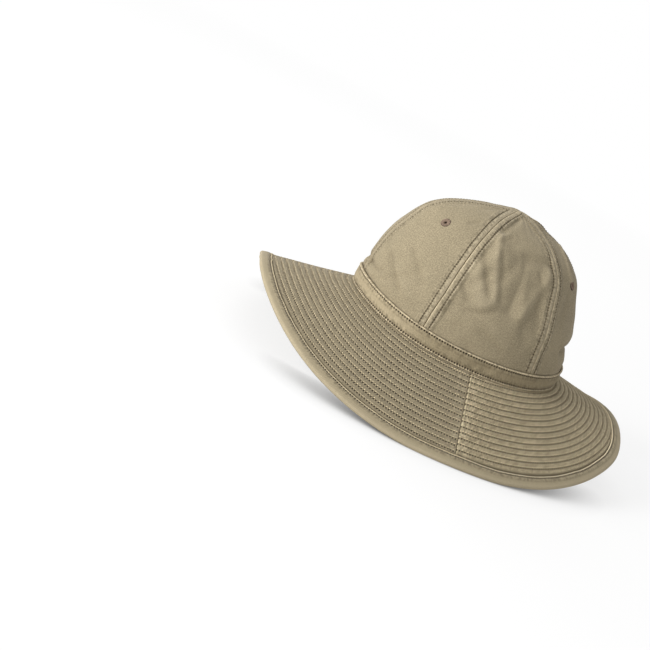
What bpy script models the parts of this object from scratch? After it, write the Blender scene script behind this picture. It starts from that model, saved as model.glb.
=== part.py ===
"""A six-panel cloth hat with a wide brim, resting on the two low sides of its brim.

Metres, +Z up, the floor at z = 0 and the middle of the rim above the origin. The front of the hat
faces -Y and its left side +X. Turns are angles round the hat: 0 at the front, 90 at +X, 180 at the
back. A rise is a share of the way up a crown panel, 0 at its foot and 1 at the top of the hat.
"""

import math

import bmesh
import bpy
from mathutils import Matrix, Vector

# Head oval: the hat band's outer face along its lower edge
HEAD_HALF_LENGTH = 0.1025
HEAD_HALF_WIDTH = 0.0855
HEAD_SETBACK = 0.0064  # the head oval's middle lies this far behind the rim's
SQUARENESS = 0.010  # how far both ovals swell between their axes, 0 being an ellipse

# Height of the seat, the level top of the brim's inner edge, where crown and band stand
SEAT_SIDE_HEIGHT = 0.055
SEAT_FRONT_RISE = 0.0098
SEAT_BACK_RISE = 0.0068

# Brim
RIM_HALF_LENGTH = 0.184
RIM_HALF_WIDTH = 0.166
RIM_FRONT_RISE = 0.0515
RIM_BACK_RISE = 0.0490
SIDE_FLATNESS = 0.06  # makes the wave's valleys at the sides longer than its crests
REST_PRESS = 0.0008  # how much of the wave's lowest part the floor presses level
BRIM_WALL = 0.0018
BRIM_SEAM_TURN = 90.0

# Binding, folded over the brim's cut edge
BINDING_WIDTH = 0.0108
BINDING_WALL = 0.0010
BINDING_FOLD_ROOM = 0.0020  # between the brim's cut edge and the inside of the fold
BINDING_FLAT = 0.0004  # how far the floor flattens the fold's underside where the hat rests

# Band
BAND_HEIGHT = 0.0151
BAND_WALL = 0.0012

# Crown
CROWN_TOP_HEIGHT = 0.183
CROWN_WALL = 0.0015
SEAM_GAP = 0.0004
SEAM_MARGIN = 0.0048  # from a seam to the far side of its raised, stitched strip
SEAM_RELIEF = 0.0005
FOLD_DEPTH = 0.0026
CUT_BULGE = 0.0003  # how far a panel's upper and lower edges stand out at mid-wall
TIP_RADIUS = 0.0018  # where the six panels' points stop

# Eyelets
EYELET_RADIUS = 0.0046
EYELET_HOLE_RADIUS = 0.0012
EYELET_PROUD = 0.0004  # how far the worked ring stands out of the cloth on each side

CLEARANCE = 0.0003

# A crown panel from the band's upper edge to the top. Height is a share of the way between them, and
# the others are shares of half the length and width of the crown inside the band.
CROWN_SECTIONS = (
    # rise, height, front, back, side
    (0.000, 0.000, 1.000, 1.000, 1.000),
    (0.085, 0.123, 0.992, 0.960, 0.992),
    (0.214, 0.307, 0.944, 0.911, 0.970),
    (0.367, 0.511, 0.854, 0.834, 0.852),
    (0.524, 0.715, 0.735, 0.719, 0.724),
    (0.690, 0.867, 0.503, 0.528, 0.478),
    (0.861, 0.961, 0.225, 0.265, 0.205),
    (1.000, 1.000, 0.000, 0.000, 0.000),
)

# The crown's seams, each the start of the panel that follows it, and the first one again at the end
CROWN_SEAMS = (
    # turn at the band, turn at the top, panel, eyelet's turn, eyelet's rise
    (0.0, 0.0, "front_left", 29.0, 0.518),
    (60.5, 60.5, "side_left", None, None),
    (121.5, 127.0, "back_left", 145.0, 0.507),
    (180.0, 180.0, "back_right", 215.0, 0.507),
    (238.5, 233.0, "side_right", None, None),
    (299.5, 299.5, "front_right", 331.0, 0.518),
    (360.0, 360.0, None, None, None),
)

# Soft folds of the crown's cloth. Width is half a fold's breadth in degrees, length half its length
# as a share of the rise, slant how far it turns over that length, and depth a share of the fold
# depth, positive on a ridge.
CROWN_FOLDS = (
    # turn, rise, width, length, slant, depth
    (73.0, 0.485, 3.5, 0.10, 4.0, 0.55),
    (74.0, 0.376, 3.5, 0.09, 6.0, -0.60),
    (83.0, 0.420, 4.0, 0.13, 7.0, -0.70),
    (78.0, 0.200, 13.0, 0.04, 0.0, -0.35),
    (99.0, 0.387, 4.5, 0.14, -4.0, 0.75),
    (108.0, 0.288, 4.5, 0.13, 1.0, -1.00),
    (31.0, 0.107, 3.5, 0.08, 8.0, -0.50),
    (41.0, 0.217, 4.0, 0.08, 2.0, -0.45),
    (145.0, 0.130, 14.0, 0.04, 0.0, -0.75),
    (163.0, 0.266, 5.0, 0.13, 5.0, 0.60),
    (196.0, 0.233, 5.0, 0.13, -6.0, -0.60),
    (217.0, 0.343, 4.5, 0.12, 5.0, 0.55),
    (256.0, 0.398, 4.5, 0.13, -5.0, -0.70),
    (270.0, 0.233, 5.0, 0.12, 4.0, 0.50),
    (284.0, 0.430, 4.0, 0.11, -5.0, -0.60),
    (327.0, 0.180, 4.5, 0.11, 6.0, -0.50),
    (343.0, 0.365, 4.5, 0.12, -4.0, 0.40),
)
FOLD_START = 0.05  # the rise by which the folds have their full depth

# Mesh steps
PANEL_STEPS_ACROSS = 8  # between a panel's two raised margins
PANEL_STEPS_UP = 13
BRIM_STEPS_ROUND = 36  # each half
BRIM_STEPS_OUT = 6
RING_STEPS = 2 * BRIM_STEPS_ROUND
BAND_STEPS_UP = 3
FOLD_STEPS = 4  # round the binding's fold
EYELET_SIDES = 16

# A raised seam margin's section, from the cut edge
MARGIN_PLACES = (
    # share of its width, share of its relief
    (0.00, 0.0),
    (0.20, 1.0),
    (0.80, 1.0),
    (1.00, 0.0),
)
MARGIN_MOST_SHARE = 0.6  # of half the panel's breadth
MARGIN_FADE = 6.0  # how many times faster the relief goes than the width

MATERIALS = {
    # colour, roughness
    "crown_cloth": ((0.50, 0.43, 0.30), 0.85),
    "brim_cloth": ((0.28, 0.22, 0.13), 0.85),
    "band_cloth": ((0.30, 0.25, 0.15), 0.85),
    "binding_cloth": ((0.33, 0.27, 0.17), 0.85),
    "eyelet_thread": ((0.20, 0.11, 0.06), 0.70),
}


def oval(turn, half_length, half_width):
    """A point of an oval round the Z axis, as x and y."""
    swell = 1 + SQUARENESS * (1 - math.cos(4 * turn)) / 2
    return half_width * swell * math.sin(turn), -half_length * swell * math.cos(turn)


def wave(turn):
    """1 at the front and the back, 0 at the sides."""
    return (1 + math.cos(2 * turn)) / 2 - SIDE_FLATNESS * (1 - math.cos(4 * turn))


def front_to_back(turn, front, back):
    """A value that passes smoothly from its figure at the front to the one at the back."""
    return (front + back) / 2 + (front - back) / 2 * math.cos(turn)


def seat_height(turn):
    return SEAT_SIDE_HEIGHT + front_to_back(turn, SEAT_FRONT_RISE, SEAT_BACK_RISE) * wave(turn)


def band_top_height(turn):
    return seat_height(turn) + CLEARANCE + BAND_HEIGHT


def head_point(turn, inset, height):
    """A point of the head oval, moved in by inset, at a height above the floor."""
    x, y = oval(turn, HEAD_HALF_LENGTH - inset, HEAD_HALF_WIDTH - inset)
    return Vector((x, y + HEAD_SETBACK, height))


def binding_half_depth():
    return BRIM_WALL / 2 + CLEARANCE + BINDING_WALL


def rim_point(turn):
    """The brim's middle layer at the rim, level along the stretch that the floor presses."""
    free = front_to_back(turn, RIM_FRONT_RISE, RIM_BACK_RISE) * wave(turn) - REST_PRESS
    rise = free * free / (free + REST_PRESS) if free > 0 else 0
    # The fold's round underside reaches the floor there, whatever the brim's slope
    half_depth = binding_half_depth()
    drop = SEAT_SIDE_HEIGHT - half_depth
    slope = math.atan2(drop, RIM_HALF_WIDTH - HEAD_HALF_WIDTH)
    lowest = half_depth * (1 - math.sin(slope)) - BINDING_FLAT
    x, y = oval(turn, RIM_HALF_LENGTH, RIM_HALF_WIDTH)
    return Vector((x, y, lowest + rise))


def brim_frame(turn):
    """The brim's middle layer at one turn: its foot, and its way and length out to the rim."""
    foot = head_point(turn, 0, seat_height(turn) - BRIM_WALL / 2)
    outward = rim_point(turn) - foot
    return foot, outward.normalized(), outward.length


def section(column, rise):
    """One column of the crown's sections at a rise, on a smooth curve through the rows."""
    rows = CROWN_SECTIONS
    step = next(i for i in range(len(rows) - 1) if rise <= rows[i + 1][0] or i == len(rows) - 2)

    def slope(row):
        before, after = rows[max(row - 1, 0)], rows[min(row + 1, len(rows) - 1)]
        return (after[column] - before[column]) / (after[0] - before[0])

    low, high = rows[step], rows[step + 1]
    span = high[0] - low[0]
    s = (rise - low[0]) / span
    return (
        low[column] * (1 + 2 * s) * (1 - s) ** 2
        + slope(step) * span * s * (1 - s) ** 2
        + high[column] * s * s * (3 - 2 * s)
        + slope(step + 1) * span * s * s * (s - 1)
    )


def crown_point(turn, rise):
    """The crown's outer face above the band, without its seams and folds."""
    inset = BAND_WALL + CLEARANCE
    half_length = HEAD_HALF_LENGTH - inset
    half_length *= front_to_back(turn, section(2, rise), section(3, rise))
    x, y = oval(turn, half_length, (HEAD_HALF_WIDTH - inset) * section(4, rise))
    lowest = band_top_height(turn)
    height = lowest + (CROWN_TOP_HEIGHT - lowest) * section(1, rise)
    return Vector((x, y + HEAD_SETBACK, height))


def crown_frame(turn, rise):
    """A point of the crown's outer face, its way along a turn per radian, and its outward normal."""
    step = 1e-3
    along = (crown_point(turn + step, rise) - crown_point(turn - step, rise)) / (2 * step)
    upward = crown_point(turn, min(rise + step, 1)) - crown_point(turn, max(rise - step, 0))
    return crown_point(turn, rise), along, along.cross(upward).normalized()


def fold_lift(turn, rise):
    """How far the folds lift the cloth at a point. They fade out at the band."""
    total = 0.0
    for fold_turn, fold_rise, width, length, slant, depth in CROWN_FOLDS:
        up = (rise - fold_rise) / length
        across = (math.degrees(turn) - fold_turn - slant * up) / width
        total += depth * math.exp(-(across * across + up * up))
    return FOLD_DEPTH * total * min(rise / FOLD_START, 1)


def seam_turn(seam, rise):
    foot, top = CROWN_SEAMS[seam][:2]
    return math.radians(foot + (top - foot) * rise)


def margin_row(seam, rise, half_panel):
    """Across the raised margin beside a seam: turns from the seam, and how high each place stands.

    Where the panel runs to a point the margin narrows, and soon lies level.
    """
    speed = crown_frame(seam_turn(seam, rise), rise)[1].length
    edge = math.asin(SEAM_GAP / 2 / speed)
    margin = min(SEAM_MARGIN / speed, edge + (half_panel - edge) * MARGIN_MOST_SHARE)
    lost_width = 1 - margin * speed / SEAM_MARGIN
    relief = SEAM_RELIEF * max(1 - MARGIN_FADE * lost_width, 0) if rise > 0 else 0
    return [(edge + (margin - edge) * share, relief * height) for share, height in MARGIN_PLACES]


def panel_row(seam, rise):
    """Across one row of a panel, from its left seam to its right one: turns and reliefs."""
    left, right = seam_turn(seam, rise), seam_turn(seam + 1, rise)
    half_panel = (right - left) / 2
    first = [(left + turn, relief) for turn, relief in margin_row(seam, rise, half_panel)]
    last = [(right - turn, relief) for turn, relief in margin_row(seam + 1, rise, half_panel)]
    start, end = first[-1][0], last[-1][0]
    between = [
        (start + (end - start) * i / PANEL_STEPS_ACROSS, 0) for i in range(1, PANEL_STEPS_ACROSS)
    ]
    return first + between + last[::-1]


def rise_at_radius(radius):
    """The rise at which a panel is this far from the top."""
    last_row = CROWN_SECTIONS[-2]
    reach = (HEAD_HALF_WIDTH - BAND_WALL - CLEARANCE) * last_row[4]
    return 1 - radius * (1 - last_row[0]) / reach


def new_material(name):
    colour, roughness = MATERIALS[name]
    material = bpy.data.materials.new(name)
    material.use_nodes = True
    shader = material.node_tree.nodes["Principled BSDF"]
    shader.inputs["Base Color"].default_value = (*colour, 1)
    shader.inputs["Roughness"].default_value = roughness
    shader.inputs["Metallic"].default_value = 0
    return material


def add_piece(name, mesh, material, collection):
    mesh.materials.append(material)
    mesh.shade_smooth()
    mesh.set_sharp_from_angle(angle=math.radians(50))
    piece = bpy.data.objects.new(name, mesh)
    collection.objects.link(piece)
    return piece


def sheet(name, across, up, place):
    """An open sheet: point (i, j) of a grid of across by up faces goes to place(i, j)."""
    grid = bmesh.new()
    bmesh.ops.create_grid(grid, x_segments=across, y_segments=up, size=1)
    for vertex in grid.verts:
        column = round((vertex.co.x + 1) / 2 * across)
        row = round((vertex.co.y + 1) / 2 * up)
        vertex.co = place(column, row)
    # Closes a sheet whose last column lies on its first
    bmesh.ops.remove_doubles(grid, verts=grid.verts, dist=1e-6)
    mesh = bpy.data.meshes.new(name)
    grid.to_mesh(mesh)
    grid.free()
    return mesh


def thicken(piece, wall, offset):
    """Gives a sheet its wall: inwards from it at offset -1, to both sides of it at offset 0."""
    solid = piece.modifiers.new("Wall", "SOLIDIFY")
    solid.thickness = wall
    solid.offset = offset


def eyelet_matrix(turn, rise):
    """The frame at the middle of the cloth under an eyelet, with Z out of the crown."""
    point, along, normal = crown_frame(turn, rise)
    centre = point + normal * (fold_lift(turn, rise) - CROWN_WALL / 2)
    side = along.normalized()
    turned = Matrix((side, normal.cross(side), normal)).transposed().to_4x4()
    return Matrix.Translation(centre) @ turned


def cut_eyelet_hole(panel, matrix, cutters):
    cylinder = bmesh.new()
    bmesh.ops.create_cone(
        cylinder,
        cap_ends=True,
        segments=EYELET_SIDES,
        radius1=EYELET_RADIUS + CLEARANCE,
        radius2=EYELET_RADIUS + CLEARANCE,
        depth=CROWN_WALL * 4,
    )
    mesh = bpy.data.meshes.new("cutter_" + panel.name)
    cylinder.to_mesh(mesh)
    cylinder.free()
    cutter = bpy.data.objects.new(mesh.name, mesh)
    cutter.matrix_world = matrix
    cutter.hide_render = True
    cutter.display_type = "WIRE"
    cutters.objects.link(cutter)
    hole = panel.modifiers.new("Eyelet hole", "BOOLEAN")
    hole.object = cutter
    hole.operation = "DIFFERENCE"
    hole.solver = "EXACT"


def panel_point(seam, column, row, depth):
    """A point of a crown panel, at a depth under its outer face.

    Row 0 stands on the seat, row 1 lies at the band's upper edge and the last one at the top. The
    folds shape both faces, and the seam margins only the outer one.
    """
    at_mid_wall = depth == CROWN_WALL / 2
    top = rise_at_radius(TIP_RADIUS)
    rise = top * max(row - 1, 0) / PANEL_STEPS_UP
    if at_mid_wall and rise == top:
        rise = rise_at_radius(TIP_RADIUS - CUT_BULGE)
    turn, relief = panel_row(seam, rise)[column]
    point, _, normal = crown_frame(turn, rise)
    if row <= 1:
        # The stretch inside the band stands upright
        normal = Vector((normal.x, normal.y, 0)).normalized()
    if row == 0:
        point.z = seat_height(turn) + CLEARANCE + (0 if at_mid_wall else CUT_BULGE)
    if depth > 0:
        relief = 0
    return point + normal * (fold_lift(turn, rise) + relief - depth)


def crown_panel(seam, material, collection):
    """One closed wall: across the outer face, back across the inner one, and closed at both ends."""
    across = PANEL_STEPS_ACROSS + 2 * (len(MARGIN_PLACES) - 1)
    round_trip = 2 * (across + 1)
    top_row = PANEL_STEPS_UP + 1

    def place(i, j):
        column = i % round_trip
        depth = 0
        if column > across:
            column = round_trip - 1 - column
            depth = CROWN_WALL
        if j in (0, top_row + 2):
            depth = CROWN_WALL / 2
        return panel_point(seam, column, min(max(j - 1, 0), top_row), depth)

    name = "crown_" + CROWN_SEAMS[seam][2]
    return add_piece(name, sheet(name, round_trip, top_row + 2, place), material, collection)


def eyelet(name, matrix, material, collection):
    """A turned ring of worked thread, bevelled where it stands out of the cloth."""
    face = CROWN_WALL / 2
    top = face + EYELET_PROUD
    profile = (
        (EYELET_RADIUS - EYELET_PROUD, top),
        (EYELET_RADIUS, face),
        (EYELET_RADIUS, -face),
        (EYELET_RADIUS - EYELET_PROUD, -top),
        (EYELET_HOLE_RADIUS, -top),
        (EYELET_HOLE_RADIUS, top),
    )
    points = [(radius, 0, height) for radius, height in profile]
    edges = [(i, (i + 1) % len(points)) for i in range(len(points))]
    mesh = bpy.data.meshes.new(name)
    mesh.from_pydata(points, edges, [])
    piece = add_piece(name, mesh, material, collection)
    turned = piece.modifiers.new("Turned", "SCREW")
    turned.angle = 2 * math.pi
    turned.steps = turned.render_steps = EYELET_SIDES
    turned.use_merge_vertices = False
    piece.matrix_world = matrix
    return piece


def hat_band(material, collection):
    """The strip round the crown's foot, standing on the seat."""

    def place(i, j):
        turn = 2 * math.pi * (i % RING_STEPS) / RING_STEPS
        share = j / BAND_STEPS_UP
        foot = seat_height(turn) + CLEARANCE
        return head_point(turn, 0, foot + BAND_HEIGHT * share)

    mesh = sheet("hat_band", RING_STEPS, BAND_STEPS_UP, place)
    piece = add_piece("hat_band", mesh, material, collection)
    thicken(piece, BAND_WALL, -1)
    return piece


def brim_half(name, first_turn, last_turn, material, collection):
    """Half of the brim, from one side seam to the other, with the level seat as its inner edge."""
    seat_width = BAND_WALL + CLEARANCE + CROWN_WALL
    edge = BINDING_WALL + BINDING_FOLD_ROOM
    gap = SEAM_GAP / 2 / RIM_HALF_WIDTH
    first, last = math.radians(first_turn) + gap, math.radians(last_turn) - gap

    def place(i, j):
        turn = first + (last - first) * i / BRIM_STEPS_ROUND
        foot, outward, length = brim_frame(turn)
        if j == 0:
            return head_point(turn, seat_width, foot.z)
        return foot + outward * (length - edge) * (j - 1) / (BRIM_STEPS_OUT - 1)

    mesh = sheet(name, BRIM_STEPS_ROUND, BRIM_STEPS_OUT, place)
    piece = add_piece(name, mesh, material, collection)
    thicken(piece, BRIM_WALL, 0)
    return piece


def brim_binding(material, collection):
    """The strip folded round the rim, pressed flat below where the hat rests on the floor."""
    half_depth = binding_half_depth()
    fold = [
        (half_depth * (1 - math.sin(angle)), -half_depth * math.cos(angle))
        for angle in (math.pi * i / FOLD_STEPS for i in range(FOLD_STEPS + 1))
    ]
    # From the lower edge round the fold to the upper edge: distance in from the rim, and height
    profile = [(BINDING_WIDTH, -half_depth), *fold, (BINDING_WIDTH, half_depth)]

    def place(i, j):
        turn = 2 * math.pi * (i % RING_STEPS) / RING_STEPS
        _, outward, _ = brim_frame(turn)
        along = rim_point(turn + 1e-3) - rim_point(turn - 1e-3)
        upward = outward.cross(along).normalized()
        inset, height = profile[j]
        point = rim_point(turn) - outward * inset + upward * height
        point.z = max(point.z, 0)
        return point

    mesh = sheet("brim_binding", RING_STEPS, len(profile) - 1, place)
    piece = add_piece("brim_binding", mesh, material, collection)
    thicken(piece, BINDING_WALL, -1)
    return piece


def new_collection(name):
    collection = bpy.data.collections.new(name)
    bpy.context.scene.collection.children.link(collection)
    return collection


def main():
    for old in list(bpy.data.objects):
        bpy.data.objects.remove(old, do_unlink=True)
    hat = new_collection("hat")
    cutters = new_collection("cutters")
    cloth = {name: new_material(name) for name in MATERIALS}

    pieces = []
    for seam, (_, _, panel_name, eyelet_turn, eyelet_rise) in enumerate(CROWN_SEAMS[:-1]):
        panel = crown_panel(seam, cloth["crown_cloth"], hat)
        pieces.append(panel)
        if eyelet_turn is None:
            continue
        matrix = eyelet_matrix(math.radians(eyelet_turn), eyelet_rise)
        cut_eyelet_hole(panel, matrix, cutters)
        name = "eyelet_" + panel_name
        pieces.append(eyelet(name, matrix, cloth["eyelet_thread"], hat))
    pieces.append(hat_band(cloth["band_cloth"], hat))
    brim_cloth = cloth["brim_cloth"]
    pieces.append(brim_half("brim_front", -BRIM_SEAM_TURN, BRIM_SEAM_TURN, brim_cloth, hat))
    pieces.append(brim_half("brim_back", BRIM_SEAM_TURN, 360 - BRIM_SEAM_TURN, brim_cloth, hat))
    pieces.append(brim_binding(cloth["binding_cloth"], hat))

    middle = bpy.data.objects.new("hat_middle", None)
    hat.objects.link(middle)
    for piece in pieces:
        piece.parent = middle


main()
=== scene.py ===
"""The looks of a six-panel cloth hat with a wide stitched brim, dressed over its solids.

Metres, +Z up. The front of the hat faces -Y and its left side +X. Turns are angles round the hat: 0 at
the front, 90 at +X, 180 at the back. A rise is a share of the way up a crown panel, 0 at the band's
upper edge and 1 at the top of the hat.
"""

import math

import bpy
import numpy as np
from mathutils import Matrix, Vector


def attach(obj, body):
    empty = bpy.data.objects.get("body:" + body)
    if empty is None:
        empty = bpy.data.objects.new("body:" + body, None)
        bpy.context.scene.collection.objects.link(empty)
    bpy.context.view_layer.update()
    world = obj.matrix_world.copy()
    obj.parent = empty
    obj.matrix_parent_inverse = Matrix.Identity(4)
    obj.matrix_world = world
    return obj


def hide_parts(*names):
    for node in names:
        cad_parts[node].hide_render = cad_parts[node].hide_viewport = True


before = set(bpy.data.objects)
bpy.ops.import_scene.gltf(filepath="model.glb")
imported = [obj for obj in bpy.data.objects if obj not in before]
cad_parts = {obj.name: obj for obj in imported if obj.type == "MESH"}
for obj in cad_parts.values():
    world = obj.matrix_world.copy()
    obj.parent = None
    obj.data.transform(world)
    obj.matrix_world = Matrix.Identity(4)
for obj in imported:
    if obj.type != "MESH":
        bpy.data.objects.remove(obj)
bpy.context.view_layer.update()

MM = 0.001
CLEARANCE = 0.0003  # between one solid and the next

# Head oval: the hat band's outer face along its lower edge
HEAD_HALF_LENGTH = 0.1025
HEAD_HALF_WIDTH = 0.0855
HEAD_SETBACK = 0.0064
SQUARENESS = 0.010

# Height of the seat, where crown and band stand on the brim
SEAT_SIDE_HEIGHT = 0.055
SEAT_FRONT_RISE = 0.0098
SEAT_BACK_RISE = 0.0068

# Brim
RIM_HALF_LENGTH = 0.184
RIM_HALF_WIDTH = 0.166
RIM_FRONT_RISE = 0.0515
RIM_BACK_RISE = 0.0490
SIDE_FLATNESS = 0.06
REST_PRESS = 0.0008
BRIM_WALL = 0.0018
BINDING_WIDTH = 0.0108
BINDING_WALL = 0.0010
BINDING_HALF_DEPTH = BRIM_WALL / 2 + CLEARANCE + BINDING_WALL
BINDING_FLAT = 0.0004

# Band and crown
BAND_HEIGHT = 0.0151
BAND_WALL = 0.0012
CROWN_TOP_HEIGHT = 0.183
CROWN_WALL = 0.0015
SEAM_GAP = 0.0004
FOLD_DEPTH = 0.0026
TIP_RADIUS = 0.0001

EYELET_RADIUS = 0.0046
EYELET_HOLE_RADIUS = 0.0012
EYELET_PROUD = 0.0004
EYELET_CUT_RADIUS = 0.6 * EYELET_RADIUS  # of the hole in the panel under the ring
EYELET_STITCHES = 26
EYELET_STEPS = 6  # round each stitch
EYELET_PROFILE_STEPS = 16

CROWN_SECTIONS = (
    # rise, height, front, back, side
    (0.000, 0.000, 1.000, 1.000, 1.000),
    (0.085, 0.123, 0.992, 0.960, 0.992),
    (0.214, 0.307, 0.944, 0.911, 0.970),
    (0.367, 0.511, 0.854, 0.834, 0.852),
    (0.524, 0.715, 0.735, 0.719, 0.724),
    (0.690, 0.867, 0.503, 0.528, 0.478),
    (0.861, 0.961, 0.225, 0.265, 0.205),
    (1.000, 1.000, 0.000, 0.000, 0.000),
)

CROWN_SEAMS = (
    # turn at the band, turn at the top, panel, eyelet's turn, eyelet's rise
    (0.0, 0.0, "front_left", 31.0, 0.519),
    (60.5, 60.5, "side_left", None, None),
    (121.5, 127.0, "back_left", 145.0, 0.507),
    (180.0, 180.0, "back_right", 215.0, 0.507),
    (238.5, 233.0, "side_right", None, None),
    (299.5, 299.5, "front_right", 331.0, 0.518),
    (360.0, 360.0, None, None, None),
)

# The cloth's soft folds. Turns, widths and slants are in degrees and lengths in rise. Depth is a share
# of the fold depth, positive on a ridge.
CROWN_FOLDS = (
    # turn, rise, width, length, slant, depth
    (73.0, 0.485, 3.5, 0.10, 4.0, 0.55),
    (74.0, 0.376, 3.5, 0.09, 6.0, -0.60),
    (83.0, 0.420, 4.0, 0.13, 7.0, -0.70),
    (78.0, 0.200, 13.0, 0.04, 0.0, -0.35),
    (99.0, 0.387, 4.5, 0.14, -4.0, 0.75),
    (108.0, 0.288, 4.5, 0.13, 1.0, -1.00),
    (31.0, 0.107, 3.5, 0.08, 8.0, -0.50),
    (41.0, 0.217, 4.0, 0.08, 2.0, -0.45),
    (145.0, 0.130, 14.0, 0.04, 0.0, -0.75),
    (163.0, 0.266, 5.0, 0.13, 5.0, 0.60),
    (196.0, 0.233, 5.0, 0.13, -6.0, -0.60),
    (217.0, 0.343, 4.5, 0.12, 5.0, 0.55),
    (256.0, 0.398, 4.5, 0.13, -5.0, -0.70),
    (270.0, 0.233, 5.0, 0.12, 4.0, 0.50),
    (284.0, 0.430, 4.0, 0.11, -5.0, -0.60),
    (327.0, 0.180, 4.5, 0.11, 6.0, -0.50),
    (343.0, 0.365, 4.5, 0.12, -4.0, 0.40),
)
FOLD_START = 0.05  # the rise from which folds and bulges have their full depth

# Narrower creases and puffs along lines on the crown. Depth is positive on a ridge.
CREASES = (
    # half width and depth in millimetres, then the turn and rise of each point on the line
    (4.5, 1.9, ((70.1, 0.634), (73.0, 0.546), (78.2, 0.448), (82.5, 0.352), (83.6, 0.294))),
    (3.4, -1.1, ((76.2, 0.546), (83.9, 0.424), (87.2, 0.316))),
    (3.2, -1.5, ((66.2, 0.508), (73.9, 0.404), (81.0, 0.306))),
    (7.0, 2.0, ((68.0, 0.405), (73.9, 0.340), (79.4, 0.258))),
    (3.0, -1.4, ((65.2, 0.300), (70.8, 0.242))),
    (11.0, -2.4, ((95.6, 0.542), (96.1, 0.404), (94.8, 0.284))),
    (3.2, -1.0, ((95.6, 0.542), (96.1, 0.404), (94.8, 0.284))),
    (4.6, 1.8, ((115.4, 0.560), (114.8, 0.520), (107.3, 0.388), (101.0, 0.274))),
    (5.2, -1.6, ((111.0, 0.446), (112.1, 0.390), (113.8, 0.232))),
    (3.0, -0.8, ((73.2, 0.180), (80.0, 0.206), (86.2, 0.242))),
    (2.6, -1.0, ((107.9, 0.526), (110.1, 0.482))),
    (3.0, 1.0, ((69.0, 0.602), (75.9, 0.676))),
    (3.2, -1.3, ((70.6, 0.694), (76.0, 0.780), (84.0, 0.870))),
    (7.0, -0.9, ((77.5, 0.642), (84.6, 0.572))),
    (6.0, -1.8, ((97.8, 0.586), (106.9, 0.586), (119.4, 0.590))),
    (2.6, 0.9, ((115.4, 0.390), (117.2, 0.232))),
    (3.0, -1.1, ((65.2, 0.184), (65.0, 0.124))),
    (3.2, -0.6, ((5.4, 0.232), (21.4, 0.152))),
    (3.0, -1.6, ((17.9, 0.182), (26.9, 0.132), (36.0, 0.072))),
    (3.0, -1.3, ((29.6, 0.294), (39.0, 0.232), (46.0, 0.176))),
    (3.0, -1.1, ((0.4, 0.064), (12.4, 0.058), (20.2, 0.080))),
    (2.2, -0.7, ((43.4, 0.606), (47.2, 0.646))),
    (3.0, -1.7, ((-32.0, 0.067), (8.0, 0.067))),
    (5.0, 0.9, ((-32.0, 0.020), (10.0, 0.020))),
    (4.5, 0.7, ((30.0, 0.155), (43.0, 0.085))),
    (5.0, -0.8, ((105.0, 0.214), (109.0, 0.158))),
    (2.6, 1.3, ((162.4, 0.742), (151.0, 0.686), (145.4, 0.606), (144.0, 0.532))),
    (3.2, 1.0, ((150.1, 0.408), (153.0, 0.254))),
    (5.0, -0.9, ((138.0, 0.450), (133.0, 0.300))),
    (3.2, -2.3, ((146.0, 0.128), (172.0, 0.126))),
    (7.0, 1.2, ((148.0, 0.205), (172.0, 0.200))),
    (4.0, 0.9, ((148.0, 0.050), (168.0, 0.052))),
    (2.4, 0.8, ((142.8, 0.176), (143.8, 0.056))),
    (4.0, -0.7, ((86.0, 0.110), (98.0, 0.060))),
    (4.5, 0.6, ((90.0, 0.150), (101.0, 0.100))),
    (2.4, -1.0, ((175.0, 0.726), (159.6, 0.676), (150.6, 0.594))),
)
# Creases that are also on the hat's right, a little off their mirrored places
MIRRORED_CREASES = (0, 1, 3, 5, 7, 8, 9, 18, 19, 28, 29, 30, 31)
CREASE_START = 0.012  # the rise from which creases have their full depth

# Broad bulges of the crown
BULGES = (
    # turn, rise, half width in degrees, half length in rise, height in millimetres
    (0, 0.30, 28, 0.16, 2.6),
    (0, 0.58, 28, 0.16, 2.8),
    (0, 0.97, 400, 0.05, 1.2),
    (182, 0.83, 20, 0.05, -0.8),
    (176, 0.74, 20, 0.05, -0.2),
    (165, 0.89, 35, 0.04, 1.6),
    (165, 0.50, 20, 0.10, 0.7),
    (160, 0.24, 20, 0.09, -0.8),
)

# How far the seams between the front, side and back panels wander from a straight line
SEAM_BOWS = (
    # rise, degrees at the front seams, degrees at the back ones
    (0.00, -1.2, -0.8),
    (0.25, -1.1, -1.4),
    (0.50, -0.5, -0.9),
    (0.65, -0.3, -1.0),
    (0.80, -0.6, 0.2),
    (1.00, 0.0, 0.0),
)

# Needlework
STITCH_LENGTH = 2.5 * MM
THREAD_HALF_WIDTH = 0.34 * MM
THREAD_HEIGHT = 0.36 * MM
STITCH_STATIONS = (
    # share of the stitch, share of the thread's height over the cloth
    (0.27, -0.60),
    (0.37, 0.60),
    (0.50, 1.00),
    (0.63, 0.60),
    (0.73, -0.60),
)
HIDDEN_STATIONS = STITCH_STATIONS[::2]  # on the undersides
THREAD_SINK = 0.10 * MM
NO_ROW = 9  # the stitch map's distance where no row is near, in millimetres

# Crown seams, pressed open and stitched down on both sides
DITCH_DEPTH = 0.70 * MM
DITCH_HALF_WIDTH = 0.50 * MM
DITCH_FADING = (76 * MM, 114 * MM)  # on its way up the seam
SEAM_STITCH = 5.0 * MM  # from the seam to each row of stitches beside it
ROW_WANDER = 0.35 * MM
STRIP_HEIGHT = 0.60 * MM
STRIP_EDGE = 6.0 * MM
STRIP_FALL = 3.0 * MM
GROOVE_DEPTH = 0.52 * MM
GROOVE_HALF_WIDTH = 0.55 * MM
PUCKER_DEPTH = 0.45 * MM
PUCKER_PITCH = 9.0 * MM
PUCKER_REACH = 7.0 * MM
STRIP_PUCKER = 0.46 * MM  # in the strip on the far side of a seam from the front
SEAM_SHOW = {0: 0.35, 6: 0.35}  # the front seam lies flat
BACK_SEAM_FADING = (0.62, 0.78)  # the rises between which the two back seams sink
SEAM_ALLOWANCE = 0.50 * MM  # the second layer inside
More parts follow.
